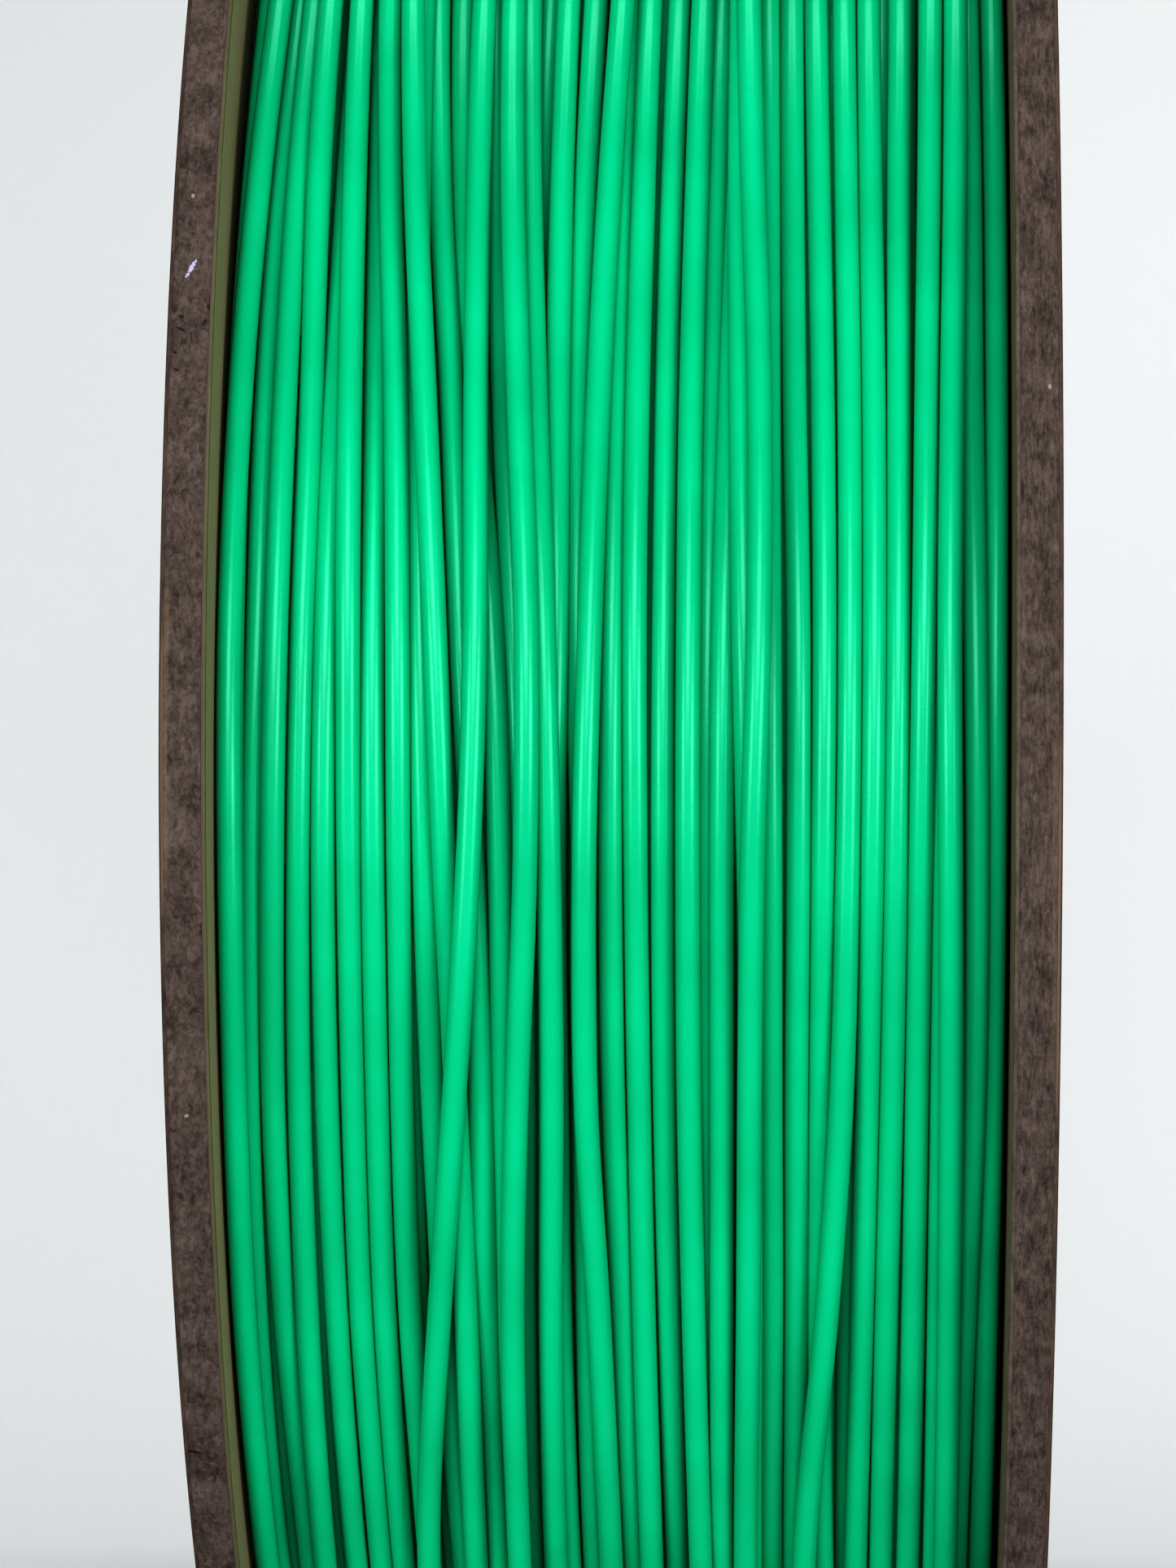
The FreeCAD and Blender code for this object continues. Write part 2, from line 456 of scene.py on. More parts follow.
def noise(tree, where, scale, detail, roughness=0.55, distortion=0.0):
    """A noise on the coordinates."""
    return node(tree, "ShaderNodeTexNoise", {
        "Vector": where, "Scale": scale, "Detail": detail, "Roughness": roughness,
        "Distortion": distortion}).outputs["Fac"]


def math(tree, operation, first, second=0.0, clamp=False):
    """A math node on two values."""
    return node(tree, "ShaderNodeMath", {0: first, 1: second},
                operation=operation, use_clamp=clamp).outputs[0]


def product(tree, value, *factors):
    """A value times the factors, one after the other."""
    for factor in factors:
        value = math(tree, "MULTIPLY", value, factor)
    return value


def mix(tree, kind, share, first, second):
    """Blend two values, vectors or colours."""
    factor, low, high, out = MIX_SOCKETS[kind]
    return node(tree, "ShaderNodeMix", {factor: share, low: first, high: second},
                data_type=kind).outputs[out]


def step_between(tree, value, low, high):
    """0 below the low value, 1 above the high one, smooth between."""
    return node(tree, "ShaderNodeMapRange", {
        "Value": value, "From Min": low, "From Max": high},
        interpolation_type="SMOOTHSTEP").outputs["Result"]


def bump(tree, shader, height, distance, strength):
    """Raise the surface by a height."""
    raised = node(tree, "ShaderNodeBump", {
        "Height": height, "Distance": distance, "Strength": strength})
    feed(tree, shader, {"Normal": raised.outputs["Normal"]})


print("kinds of blend:", ", ".join(MIX_SOCKETS))

# %% [markdown]
# ## The filament's finish
#
# The strand is glossy plastic, dyed green. Its colour is nearly even, with a
# faint change of tone along the spool. A translucent shader could be used, but it
# renders more slowly and the photograph shows no light through the strands. A
# tinted, weak gloss gives the narrow bright lines, and a very fine bump breaks
# them up a little, as the grain of drawn plastic does.

# %% Make the filament's finish
def filament_finish():
    """Glossy green plastic with a faint change of tone along the strand."""
    material, tree, shader, where = principled("green_filament")
    tone = node(tree, "ShaderNodeValToRGB", {"Fac": noise(tree, where, 90.0, 2.0)})
    dark, light = tone.color_ramp.elements
    dark.position, dark.color = 0.35, (0.0, 0.285, 0.145, 1)
    light.position, light.color = 0.65, (0.0, 0.32, 0.165, 1)
    feed(tree, shader, {
        "Base Color": tone.outputs["Color"],
        "Roughness": 0.27,
        "Specular IOR Level": 0.22,
        "Specular Tint": (0.5, 1.0, 0.85, 1.0)})
    bump(tree, shader, noise(tree, where, 2500.0, 3.0), 0.00002, 0.3)
    return material


filament = filament_finish()
print("finish:", filament.name)

# %% [markdown]
# ## Board and paper
#
# Chipboard and facing paper are both made of fibres, so they share one group of
# nodes with its own values in each material. The fibres of a die-cut rim run
# along it, so the group rolls the space around the axis out flat: x stays, and
# the angle becomes a length along the rim. The cut of the roll is at the back. A
# picture of real board could be wrapped around instead, but up close it would
# blur, and noise doesn't. Stretched noise gives the strokes, plain noise the
# blotches.

# %% Build the fibre group
MOTTLE_STRETCH = (0.8, 1.0, 0.6)
STROKE_STRETCH = (1.1, 1.0, 0.26)
BLOTCH_SCALE, BLOTCH_SHARE = 0.14, 0.3
FULL_CONTRAST = 3.6


def separate(tree, vector):
    """The x, y and z of a vector."""
    return node(tree, "ShaderNodeSeparateXYZ", {"Vector": vector}).outputs


def stretched(tree, where, scale):
    """The coordinates, scaled by its own amount along each axis."""
    return node(tree, "ShaderNodeMapping", {"Vector": where, "Scale": scale}).outputs["Vector"]


def roll_out(tree, vector):
    """Turn a place into its x, its radius, and its way along the rim."""
    x, y, z = separate(tree, vector)
    along = product(tree, math(tree, "ARCTAN2", z, product(tree, y, -1.0)), RIM * MM)
    across = node(tree, "ShaderNodeCombineXYZ", {"Y": y, "Z": z}).outputs[0]
    radius = node(tree, "ShaderNodeVectorMath", {0: across}, operation="LENGTH").outputs["Value"]
    return node(tree, "ShaderNodeCombineXYZ", {"X": x, "Y": radius, "Z": along}).outputs[0]


def fibre_group():
    """Mottled and stroked fibres, as a colour and a height."""
    tree, given = new_tree("paper_fibres", "ShaderNodeTree", [
        ("Vector", "Vector", None),
        ("Rolled", "Float", 1.0),
        ("Scale", "Float", 3800.0),
        ("Strokes", "Float", 0.4),
        ("Contrast", "Float", 1.0),
        ("Dark", "Color", (0.03, 0.02, 0.015, 1)),
        ("Light", "Color", (0.1, 0.08, 0.07, 1)),
    ], [("Color", "Color"), ("Height", "Float")])
    rolled = roll_out(tree, given["Vector"])
    where = mix(tree, "VECTOR", given["Rolled"], given["Vector"], rolled)
    where = node(tree, "ShaderNodeVectorMath", {0: where, "Scale": given["Scale"]},
                 operation="SCALE").outputs[0]
    mottle = noise(tree, stretched(tree, where, MOTTLE_STRETCH), 1.0, 5.0, 0.62, 0.9)
    strokes = noise(tree, stretched(tree, where, STROKE_STRETCH), 1.0, 4.0, 0.6, 0.5)
    blotch = noise(tree, where, BLOTCH_SCALE, 3.0, 0.5)
    height = mix(tree, "FLOAT", given["Strokes"], mottle, strokes)
    blended = mix(tree, "FLOAT", BLOTCH_SHARE, height, blotch)
    centred = math(tree, "SUBTRACT", blended, 0.5)
    strong = product(tree, centred, FULL_CONTRAST, given["Contrast"])
    share = math(tree, "ADD", strong, 0.5, clamp=True)
    colour = mix(tree, "RGBA", share, given["Dark"], given["Light"])
    node(tree, "NodeGroupOutput", {"Color": colour, "Height": height})
    return tree


fibres = fibre_group()
print("shader group:", fibres.name, "with", len(fibres.nodes), "nodes")

# %% [markdown]
# A material takes the group with its own two colours, its grain and its share of
# strokes. Marks on the rim are masks: an oval in the piece's own coordinates with
# a ragged edge, and a soft span between two heights.

# %% Place the fibres and the marks
SOFT_END = 6
SOFT_BORDER = 0.35


def fibrous(tree, where, dark, light, rolled=1.0, scale=3800.0, strokes=0.4, contrast=1.0):
    """The fibres of one material, as a colour and a height."""
    group = node(tree, "ShaderNodeGroup", {
        "Vector": where, "Rolled": rolled, "Scale": scale, "Strokes": strokes,
        "Contrast": contrast, "Dark": (*dark, 1), "Light": (*light, 1)}, node_tree=fibres)
    return group.outputs["Color"], group.outputs["Height"]


def spot(tree, where, centre, size, tilt, rough):
    """A mask that is 1 inside a ragged oval on the rim."""
    oval = node(tree, "ShaderNodeMapping", {
        "Vector": where, "Location": [c * MM for c in centre],
        "Rotation": (0, radians(tilt), 0), "Scale": [c * MM for c in size]},
        vector_type="TEXTURE").outputs["Vector"]
    away = node(tree, "ShaderNodeVectorMath", {0: oval}, operation="LENGTH").outputs["Value"]
    grain = math(tree, "SUBTRACT", noise(tree, where, 5000.0, 3.0), 0.5)
    edge = math(tree, "ADD", away, product(tree, grain, rough * 4))
    return step_between(tree, math(tree, "SUBTRACT", 1.0, edge), 0.0, SOFT_BORDER)


def height_span(tree, height, low, high):
    """A mask that is 1 between two heights, with soft ends."""
    above = step_between(tree, height, low * MM, (low + SOFT_END) * MM)
    below = step_between(tree, product(tree, height, -1.0), -high * MM, (SOFT_END - high) * MM)
    return product(tree, above, below)


print(f"a span's ends are {SOFT_END} mm soft")

# %% [markdown]
# ## The board's finish
#
# The rims carry marks that the photograph shows: on the left one a glossy smear
# with a painted highlight as its pale colour, pits and a notch whose darkness is
# painted shade, and on both some light flecks and a tan strip of varying width,
# where the outer facing paper's edge is rubbed. They could be painted on a picture,
# but a mask can be moved by its numbers. Each mark has its centre and size in
# millimetres, its tilt, how ragged it is, and its colour.

# %% Make the board's finish
BOARD_COLOURS = ((0.028, 0.019, 0.015), (0.096, 0.076, 0.068))
TAN = (0.135, 0.098, 0.066, 1)
# The dark colours of the pits and the notch are painted shade, standing in for their hollows.
PIT_SHADE, FLECK = (0.020, 0.014, 0.011, 1), (0.195, 0.165, 0.12, 1)
NOTCH_SHADE = (0.008, 0.006, 0.005, 1)
MARKS = [
    ((-29.8, -95.5, 29.65), (0.28, 0.6, 0.11), 25.0, 0.5, PIT_SHADE),
    ((-29.75, -95.8, 28.75), (0.34, 0.6, 0.10), 25.0, 0.5, PIT_SHADE),
    ((-27.9, -95.3, 30.3), (0.16, 0.6, 0.20), 25.0, 0.5, PIT_SHADE),
    ((-28.1, -95.6, 29.2), (0.13, 0.6, 0.34), 25.0, 0.5, PIT_SHADE),
    ((-29.95, -96.6, 25.9), (0.22, 0.6, 0.10), 25.0, 0.5, PIT_SHADE),
    ((-30.1, -96.3, 27.1), (0.2, 0.6, 0.13), 25.0, 0.5, PIT_SHADE),
    ((-29.35, -92.4, 38.2), (0.16, 0.5, 0.2), -20.0, 0.5, FLECK),
    ((-29.2, -96.7, -25.4), (0.2, 0.5, 0.13), -20.0, 0.5, FLECK),
    ((29.8, -96.9, 24.7), (0.12, 0.5, 0.2), -20.0, 0.5, FLECK),
    ((-30.0, -86.5, -50.25), (0.62, 0.6, 0.10), 12.0, 0.2, NOTCH_SHADE),
]
# The smear is a real glossy spot; its pale colour is a painted highlight.
SMEAR_AND_HIGHLIGHT = ((-29.2, -94.4, 33.0), (0.15, 0.9, 0.80), 27.0, 0.65)
SMEAR_HIGHLIGHT_COLOUR = (0.27, 0.26, 0.34, 1)
STRIP_BORDER = 0.18


def tan_strip(tree, where, low, high, reach, strength):
    """A mask of the rubbed strip: its two heights, its width and its strength."""
    x, _, z = separate(tree, where)
    wave = product(tree, noise(tree, where, 120.0, 3.0, 0.5), 0.0004)
    outward = math(tree, "ADD", math(tree, "ABSOLUTE", x), wave)
    edge = BOARD_OUT - reach
    strip = step_between(tree, outward, edge * MM, (edge + STRIP_BORDER) * MM)
    return product(tree, strip, height_span(tree, z, low, high), strength)


def board_finish(name, scale, strokes, contrast, rubbed):
    """Grey-brown chipboard, with its marks and the rubbed tan edge; the pits and notch are
    painted shade, the smear's pale colour a painted highlight.
    """
    material, tree, shader, where = principled(name)
    colour, height = fibrous(
        tree, where, *BOARD_COLOURS, scale=scale, strokes=strokes, contrast=contrast)
    colour = mix(tree, "RGBA", tan_strip(tree, where, *rubbed), colour, TAN)
    for *mark, mark_colour in MARKS:
        colour = mix(tree, "RGBA", spot(tree, where, *mark), colour, mark_colour)
    smear_and_highlight = spot(tree, where, *SMEAR_AND_HIGHLIGHT)
    feed(tree, shader, {
        "Base Color": mix(tree, "RGBA", smear_and_highlight, colour, SMEAR_HIGHLIGHT_COLOUR),
        "Roughness": mix(tree, "FLOAT", smear_and_highlight, 0.85, 0.3),
        "Specular IOR Level": 0.25})
    bump(tree, shader, height, 0.00012, 0.7)
    return material


left_chipboard = board_finish("left_chipboard", 2900.0, 0.3, 1.15, (-12.0, 14.0, 0.22, 0.35))
right_chipboard = board_finish("right_chipboard", 4000.0, 0.6, 1.2, (-24.0, 4.0, 0.25, 0.25))
print("board:", left_chipboard.name, right_chipboard.name, "with", len(MARKS) + 1, "marks")

# %% [markdown]
# ## The facing paper's finish
#
# The paper's face is smooth, and its cut edge at the rim is darker, like the
# board. The photograph shows more of the left flange's inner paper, as an olive
# strip that fades into the board; the olive tint of its edge is painted green
# light, bounced from the strand. The right flange's inner paper is the same paper,
# but its darker colours are painted shade. The outer papers' edges are rubbed over
# a span of the rim. The face and the edge could be two materials, but one with a
# mask between them gives a soft change.

# %% Make the facing paper's finish
AT_RIM = (99.4 * MM, 99.8 * MM)
OUTER_CORNER = (30.54 * MM, 30.62 * MM)


def rub(tree, where, low, high):
    """A mask of the rubbed part of an outer paper's edge."""
    x, _, z = separate(tree, where)
    ragged = math(tree, "ADD", z, product(tree, noise(tree, where, 150.0, 3.0), 0.006))
    outside = step_between(tree, math(tree, "ABSOLUTE", x), *OUTER_CORNER)
    inside = math(tree, "SUBTRACT", 1.0, outside)
    return product(tree, height_span(tree, ragged, low, high), inside)


def fade_out(tree, where, grain):
    """A mask that goes from the inner paper's face to the board."""
    outward = math(tree, "ABSOLUTE", separate(tree, where)["X"])
    shift = product(tree, math(tree, "SUBTRACT", grain, 0.5), 0.0006)
    ragged = math(tree, "ADD", outward, shift)
    return step_between(tree, ragged, INNER_FACE * MM, BOARD_IN * MM)


def facing_finish(name, edge_colours, face_colours, rubbed=None, fade=None):
    """Facing paper, with its face and its cut edge at the rim."""
    material, tree, shader, where = principled(name)
    edge, edge_height = fibrous(tree, where, *edge_colours, scale=2400.0, strokes=0.55)
    face, face_height = fibrous(
        tree, where, *face_colours, rolled=0.0, scale=1100.0, strokes=0.25, contrast=0.55)
    radius = separate(tree, roll_out(tree, where))["Y"]
    at_rim = step_between(tree, radius, *AT_RIM)
    if rubbed:
        low, high, colour = rubbed
        edge = mix(tree, "RGBA", rub(tree, where, low, high), edge, colour)
    if fade:
        edge = mix(tree, "RGBA", fade_out(tree, where, edge_height), edge, fade)
    feed(tree, shader, {
        "Base Color": mix(tree, "RGBA", at_rim, face, edge),
        "Roughness": 0.8,
        "Specular IOR Level": 0.3})
    bump(tree, shader, mix(tree, "FLOAT", at_rim, face_height, edge_height), 0.00006, 0.5)
    return material


OUTER_PAPER = ((0.17, 0.125, 0.08), (0.26, 0.20, 0.135))
left_outer_facing = facing_finish(
    "left_outer_facing", ((0.022, 0.015, 0.012), (0.070, 0.050, 0.038)), OUTER_PAPER,
    rubbed=(-12.0, 14.0, (0.095, 0.068, 0.050, 1)))
right_outer_facing = facing_finish(
    "right_outer_facing", ((0.036, 0.025, 0.020), (0.088, 0.060, 0.046)), OUTER_PAPER,
    rubbed=(-24.0, 4.0, (0.105, 0.074, 0.056, 1)))
# The olive tint in this paper's edge colours is painted green light bounced from the strand.
left_inner_facing_green_bounce = facing_finish(
    "left_inner_facing_green_bounce", ((0.060, 0.062, 0.026), (0.105, 0.105, 0.055)),
    ((0.205, 0.175, 0.10), (0.25, 0.22, 0.14)), fade=(0.065, 0.052, 0.043, 1))
# This is the same paper as the left one; its darker colours are painted shade.
right_inner_facing_shaded = facing_finish(
    "right_inner_facing_shaded", ((0.040, 0.032, 0.026), (0.102, 0.084, 0.070)),
    ((0.13, 0.105, 0.068), (0.175, 0.145, 0.10)))
print("papers:", left_outer_facing.name, right_inner_facing_shaded.name, "and two more")

# %% [markdown]
# ## The tube's finish
#
# The core tube is seen only through the bore. It is kraft paper wound in a
# spiral, so a dark line shows where the ply's edges meet. Its place comes from
# the way along the axis plus the way around it, both counted in turns, and each
# turn takes the line 60 mm along the tube.

# %% Make the tube's finish
PLY_CLIMB = 60.0 * MM
SEAM_BORDER = (0.004, 0.012)


def tube_finish():
    """Kraft paper with the seam of its outermost ply."""
    material, tree, shader, where = principled("tube_paper")
    colour, height = fibrous(
        tree, where, (0.20, 0.125, 0.07), (0.33, 0.23, 0.14),
        scale=1300.0, strokes=0.5, contrast=0.6)
    x, _, along = separate(tree, roll_out(tree, where))
    turns = product(tree, along, 1 / (2 * pi * RIM * MM))
    climb = math(tree, "ADD", product(tree, x, 1 / PLY_CLIMB), turns)
    place = math(tree, "SUBTRACT", math(tree, "FRACT", climb), 0.5)
    away = step_between(tree, math(tree, "ABSOLUTE", place), *SEAM_BORDER)
    seam = math(tree, "SUBTRACT", 1.0, away)
    feed(tree, shader, {
        "Base Color": mix(tree, "RGBA", seam, colour, (0.07, 0.045, 0.025, 1)),
        "Roughness": 0.8})
    bump(tree, shader, height, 0.00006, 0.5)
    return material


kraft = tube_finish()
print("board and paper:", len(bpy.data.materials), "materials so far")

# %% [markdown]
# ## The flanges
#
# Each flange is three discs glued together: a facing paper, the board and
# another facing paper. A disc is its cross-section turned around the axis. A
# plain cylinder with a bevel would do for a moulded disc, but here each point of
# the rim gets its own wear. The die rounds the edges at the rim, so the
# cross-section has a small quarter circle at each.

# %% Draw a disc's cross-section
SIDES = 720
WORN_RIM = RIM - 0.03
SHOULDER = 60.0
RIM_BAND = 1.0
CORNER_STEPS = 5
SPACING = 0.28


def rounded_edge(face, inward, size):
    """The points of a rounded edge, from the face to the rim."""
    turns = [pi / 2 * step / (CORNER_STEPS - 1) for step in range(CORNER_STEPS)]
    return [(face + inward * size * (1 - cos(turn)), WORN_RIM - size * (1 - sin(turn)), 1.0)
            for turn in turns]


def disc_profile(near, far, near_round, far_round):
    """Points from the bore to the rim and back, each with its x, radius and wear."""
    inward = 1 if far > near else -1
    flat = abs(far - near) - near_round - far_round
    count = max(1, round(flat / SPACING))
    up = [(near, radius, 0.0) for radius in (BORE, SHOULDER, WORN_RIM - RIM_BAND)]
    across = [(near + inward * (near_round + flat * step / count), WORN_RIM, 1.0)
              for step in range(1, count)]
    down = [(far, radius, 0.0) for radius in (WORN_RIM - RIM_BAND, SHOULDER, BORE)]
    return (up + rounded_edge(near, inward, near_round) + across
            + rounded_edge(far, -inward, far_round)[::-1] + down)


print("points in a board's cross-section:", len(disc_profile(BOARD_IN, BOARD_OUT, 0.01, 0.01)))

# %% [markdown]
# A cut rim isn't a perfect circle. It waves a little and is a little ragged, so
# each point of the cross-section gets a closed ring of smooth random values. The
# turned mesh joins neighbouring cross-sections, and the last one to the first,
# with faces that look outwards whichever way the cross-section runs. The number of
# waves that a ripple keeps says how fine it is.

# %% Turn a cross-section around the axis
WEAR, FINE_WAVES = 0.012, 200


def ripple(rng, most_waves):
    """A closed ring of smooth random values, about 1 high."""
    waves = np.fft.rfft(rng.normal(size=SIDES))
    waves *= np.exp(-(np.arange(len(waves)) / most_waves) ** 2)
    values = np.fft.irfft(waves, SIDES)
    return values / values.std()


def turned_mesh(name, profile_x, radii):
    """A closed cross-section turned around the axis, with a row of radii for each point."""
    count, sides = radii.shape
    angle = 2 * pi * np.arange(sides) / sides
    x = np.repeat(np.array(profile_x)[:, None], sides, 1)
    rings = np.stack([x, radii * np.cos(angle), radii * np.sin(angle)], -1) * MM
    vertices = rings.swapaxes(0, 1).reshape(-1, 3)
    rightwards = profile_x[-1] > profile_x[0]
    faces = []
    for side in range(sides):
        here, there = side * count, (side + 1) % sides * count
        for i in range(count):
            j = (i + 1) % count
            quad = (there + i, there + j, here + j, here + i)
            faces.append(quad if rightwards else quad[::-1])
    mesh = bpy.data.meshes.new(name)
    mesh.from_pydata(vertices.tolist(), [], faces)
    return mesh


def worn_radii(profile, broad, seed):
    """The radius of each point of a disc's cross-section, all the way around."""
    rng = np.random.default_rng(seed)
    return np.array([radius - worn * (broad + WEAR * np.abs(ripple(rng, FINE_WAVES)))
                     for _, radius, worn in profile])


print(f"the rim's fine wear is about {WEAR} mm deep")

# %% [markdown]
# The tie-off hole goes through all three discs. It could be built into the rings
# of faces, but a rod through both flanges cuts it more simply, with a Boolean
# modifier, and the result is kept as a plain mesh. Each layer below has its slot,
# its two places along the axis, and the rounding of its two edges. Each piece is
# then handed over: it rides on the body and stands for a CAD node, which is hidden.

# %% Cut the discs
BROAD_WEAR, BROAD_WAVES = 0.02, 14
ROD_SIDES, ROD_LENGTH = 48, 80.0 * MM
SHARP_ANGLE = radians(50)
LAYERS = [
    ("inner_liner", "liner_paper", INNER_FACE, BOARD_IN, 0.09, 0.01),
    ("board", "greyboard", BOARD_IN, BOARD_OUT, 0.01, 0.01),
    ("outer_liner", "liner_paper", BOARD_OUT, OUTER_FACE, 0.01, 0.16),
]
FLANGES = [
    ("left", -1, (left_inner_facing_green_bounce, left_chipboard, left_outer_facing)),
    ("right", 1, (right_inner_facing_shaded, right_chipboard, right_outer_facing)),
]


def bake(piece):
    """Make what a piece's modifiers show its own plain mesh."""
    bpy.context.view_layer.update()
    seen = piece.evaluated_get(bpy.context.evaluated_depsgraph_get())
    baked = bpy.data.meshes.new_from_object(seen)
    piece.modifiers.clear()
    old, piece.data = piece.data, baked
    bpy.data.meshes.remove(old)
    baked.name = piece.name


def hand_over(piece, node_name):
    """Let a piece move with the body and stand for a CAD node."""
    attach(piece, "root")
    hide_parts(node_name)
    print(piece.name, "stands for", node_name, "with", len(piece.data.polygons), "faces")


def cutter():
    """A rod through the tie-off holes of both flanges."""
    form = bmesh.new()
    bmesh.ops.create_cone(
        form, cap_ends=True, segments=ROD_SIDES, radius1=HOLE_RADIUS * MM,
        radius2=HOLE_RADIUS * MM, depth=ROD_LENGTH)
    mesh = bpy.data.meshes.new("cutter")
    form.to_mesh(mesh)
    form.free()
    rod = put("cutter", mesh)
    place = around(np.array([0.0]), np.array([HOLE_REACH]), np.array([HOLE_ANGLE]))[0]
    rod.matrix_world = Matrix.Translation(Vector(place)) @ Matrix.Rotation(pi / 2, 4, "Y")
    return rod


def disc(name, near, far, rounds, broad, seed, material, rod):
    """One disc of a flange, worn at its rim, with the tie-off hole cut out."""
    profile = disc_profile(near, far, *rounds)
    radii = worn_radii(profile, broad, seed)
    piece = put(name, turned_mesh(name, [x for x, _, _ in profile], radii))
    piece.data.materials.append(material)
    cut = piece.modifiers.new("tie_off_hole", "BOOLEAN")
    cut.operation = "DIFFERENCE"
    cut.solver = "EXACT"
    cut.object = rod
    bake(piece)
    piece.data.shade_smooth()
    piece.data.set_sharp_from_angle(angle=SHARP_ANGLE)
    return piece


rod = cutter()
for side, sign, finishes in FLANGES:
    broad = BROAD_WEAR * np.abs(ripple(np.random.default_rng(7 + sign), BROAD_WAVES))
    for (layer, slot, near, far, *rounds), material in zip(LAYERS, finishes):
        seed = int(far * 10) + sign
        piece = disc(f"worn_{side}_{layer}", near * sign, far * sign, rounds, broad, seed,
                     material, rod)
        hand_over(piece, f"{side}_{layer}")
bpy.data.objects.remove(rod)

# %% [markdown]
# ## The winding
#
# Below the even layer the strand can't be seen, except for its crests in the
# gaps. They could be wound like the rest, at ten times the faces. So the many
# layers there are one ring with a rounded crest for each turn. Round strands nest
# in each other's grooves, so a layer is less thick than a strand.

# %% Turn the inner turns
PACK_BORE = 51.1
SIDE = INNER_FACE - 0.05
LAYER_STEP = 1.52
CREST_STEPS = 5
FLATTEST = 0.1
RING_SIDES = 96


def inner_turns():
    """All the turns below the even layer, as one ring with a crest for each."""
    floor = BED_RADIUS - LAYER_STEP
    pitch = 2 * SIDE / EVEN_TURNS
    profile = [(-SIDE, PACK_BORE)]
    for turn in range(EVEN_TURNS):
        for step in range(CREST_STEPS):
            share = step / CREST_STEPS
            x = -SIDE + pitch * (turn + share)
            round_top = sqrt(max(FLATTEST, 1 - (2 * share - 1) ** 2))
            profile.append((x, floor + STRAND / 2 * round_top + bed(x)))
    profile += [(SIDE, floor + bed(SIDE)), (SIDE, PACK_BORE)]
    radii = np.array([[radius] * RING_SIDES for _, radius in profile])
    mesh = turned_mesh("filament_inner_turns", [x for x, _ in profile], radii)
    mesh.materials.append(filament)
    mesh.shade_smooth()
    return put(mesh.name, mesh)


hand_over(inner_turns(), "filament_inner_pack")

# %% [markdown]
# The line of the strand is cut into three stretches, which meet at the back. The
# even and the lower turns stand for the inner pack, and the upper ones for the
# outer layer. Each stretch goes through the tube tree, with more sides where more
# of it is seen. A modifier's inputs are set by their identifiers, which the
# tree's interface gives.

# %% Wind the strand
def line_object(name, path):
    """A mesh of one open line of edges."""
    mesh = bpy.data.meshes.new(name)
    edges = [(i, i + 1) for i in range(len(path) - 1)]
    mesh.from_pydata([tuple(point) for point in path], edges, [])
    return put(name, mesh)


def apply_tree(piece, tree, values):
    """Run a tree on a piece and keep the result as a plain mesh."""
    modifier = piece.modifiers.new(tree.name, "NODES")
    modifier.node_group = tree
    for item in tree.interface.items_tree:
        if item.item_type == "SOCKET" and item.in_out == "INPUT" and item.name in values:
            modifier[item.identifier] = values[item.name]
    bake(piece)


half_turn = STEPS // 2
even_end = EVEN_TURNS * STEPS + half_turn
lower_end = even_end + len(LOWER_PASS) * STEPS
STRETCHES = [
    ("filament_even_turns", 0, even_end, 10, "filament_inner_pack"),
    ("filament_lower_turns", even_end, lower_end, 18, "filament_inner_pack"),
    ("filament_outer_turns", lower_end, len(points), 20, "filament_outer_layer"),
]
for name, first, past, sides, node_name in STRETCHES:
    piece = line_object(name, points[first:past + 1])
    apply_tree(piece, tube_tree, {
        "Thickness": STRAND * MM, "Sides": sides, "Material": filament})
    hand_over(piece, node_name)

# %% [markdown]
# ## The hub
#
# The plug rings and the core tube are plain rings, and the CAD model has their
# shape already. A copy of them would add nothing, so the CAD nodes stay and their
# material slots are filled.

# %% Dress the CAD nodes
for node_name, material in (("left_plug_ring", left_chipboard),
                            ("right_plug_ring", right_chipboard), ("core_tube", kraft)):
    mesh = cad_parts[node_name].data
    for slot in range(len(mesh.materials)):
        mesh.materials[slot] = material
    print(node_name, material.name)

# %% [markdown]
# ## The backdrop
#
# The photograph's background is a pale, even wall. A floor and a wall would show
# the line where they meet, so one sheet curves up from the floor. Painted light
# makes it a little lighter on the right, as in the photograph.

# %% Build the backdrop
FLOOR, BACK_WALL, CURVE, TOP, HALF_WIDTH, FRONT_EDGE = -0.1, 0.9, 0.75, 3.0, 3.0, -2.5
CURVE_STEPS = 24
# The span in x over which painted light makes the backdrop lighter on the right.
PAINTED_LIGHT_SPAN = (-0.12, 0.12)


def sweep_mesh():
    """A floor that curves up into a wall behind the spool."""
    profile = [(FRONT_EDGE, FLOOR)]
    for step in range(CURVE_STEPS + 1):
        angle = pi / 2 * step / CURVE_STEPS
        profile.append((BACK_WALL - CURVE + CURVE * sin(angle), FLOOR + CURVE * (1 - cos(angle))))
    profile.append((BACK_WALL, TOP))
    vertices = [(x, y, z) for y, z in profile for x in (-HALF_WIDTH, HALF_WIDTH)]
    faces = [(2 * i, 2 * i + 1, 2 * i + 3, 2 * i + 2) for i in range(len(profile) - 1)]
    mesh = bpy.data.meshes.new("backdrop")
    mesh.from_pydata(vertices, [], faces)
    mesh.shade_smooth()
    return mesh


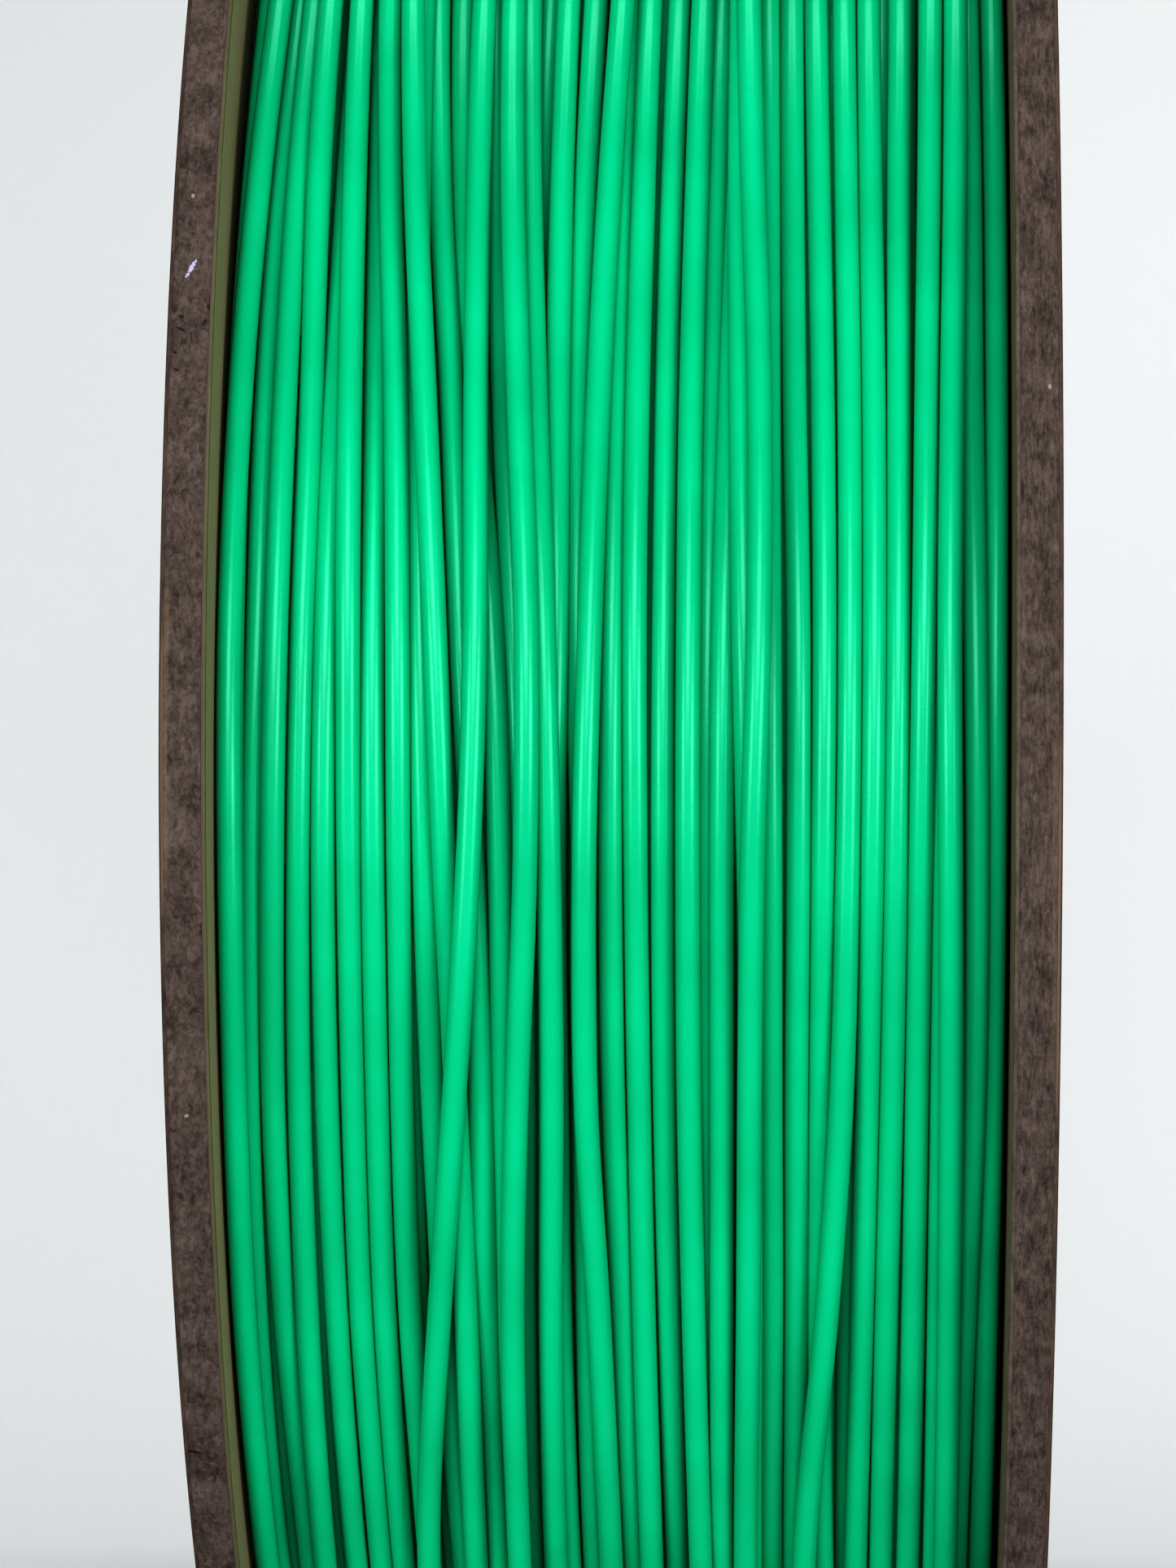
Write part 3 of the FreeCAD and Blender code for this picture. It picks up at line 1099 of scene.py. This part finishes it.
def pale_finish():
    """A matt off-white, with painted light that makes it a little lighter on the right."""
    material, tree, shader, where = principled("pale_backdrop")
    # Painted light: the colour grows lighter towards the right.
    painted_light_share = step_between(tree, separate(tree, where)["X"], *PAINTED_LIGHT_SPAN)
    feed(tree, shader, {
        "Base Color": mix(
            tree, "RGBA", painted_light_share, (0.55, 0.563, 0.569, 1), (0.585, 0.597, 0.602, 1)),
        "Roughness": 0.9})
    return material


backdrop = put("backdrop", sweep_mesh())
backdrop.data.materials.append(pale_finish())
print("backdrop:", len(backdrop.data.polygons), "faces")

# %% [markdown]
# ## Light
#
# The strands in the photograph carry short bright lines at the middle of the
# front, mostly two side by side, and again at the very top. So three soft lights
# stand around the camera, one above, and one is kept for the wall. A picture of a
# studio could light the spool all around, but then the lines couldn't be placed.
# Each light is a rectangle, because its shape is what the gloss mirrors.

# %% Set the lights
LIGHTS = [
    ("front_light", (0.0, -1.3, 0.24), (0, 0, 0), (0.7, 0.3), 10.0),
    ("left_light", (-0.8, -1.05, 0.0), (0, 0, -0.02), (0.5, 0.18), 6.1),
    ("right_light", (0.8, -0.95, 0.0), (0, 0, -0.02), (0.5, 0.18), 6.4),
    ("top_light", (0.0, -0.31, 1.0), (0, -0.08, 0.05), (0.9, 0.1), 4.2),
    ("wall_light", (0.2, 0.15, 0.3), (0.1, 0.6, -0.1), (1.4, 0.4), 1.6),
]


def soft_light(name, place, aim, size, power):
    """An area light that points at a place."""
    data = bpy.data.lights.new(name, "AREA")
    data.shape = "RECTANGLE"
    data.size, data.size_y = size
    data.energy = power
    light = put(name, data)
    light.location = place
    direction = Vector(aim) - Vector(place)
    light.rotation_euler = direction.to_track_quat("-Z", "Y").to_euler()


for light in LIGHTS:
    soft_light(*light)
print(f"{len(LIGHTS)} lights, {sum(power for *_, power in LIGHTS):.1f} watts")

# %% [markdown]
# A dim, slightly blue world fills the deepest shadows. The picture keeps plain
# colours, and more contrast brings out the dark gaps between the strands.

# %% Set the world and the picture's contrast
world = bpy.data.worlds.new("studio")
world.use_nodes = True
feed(world.node_tree, world.node_tree.nodes["Background"], {
    "Color": (0.95, 0.98, 1.0, 1), "Strength": 0.03})
bpy.context.scene.world = world
view = bpy.context.scene.view_settings
view.view_transform = "Standard"
view.look = "Very High Contrast"
print("look:", view.view_transform, view.look)
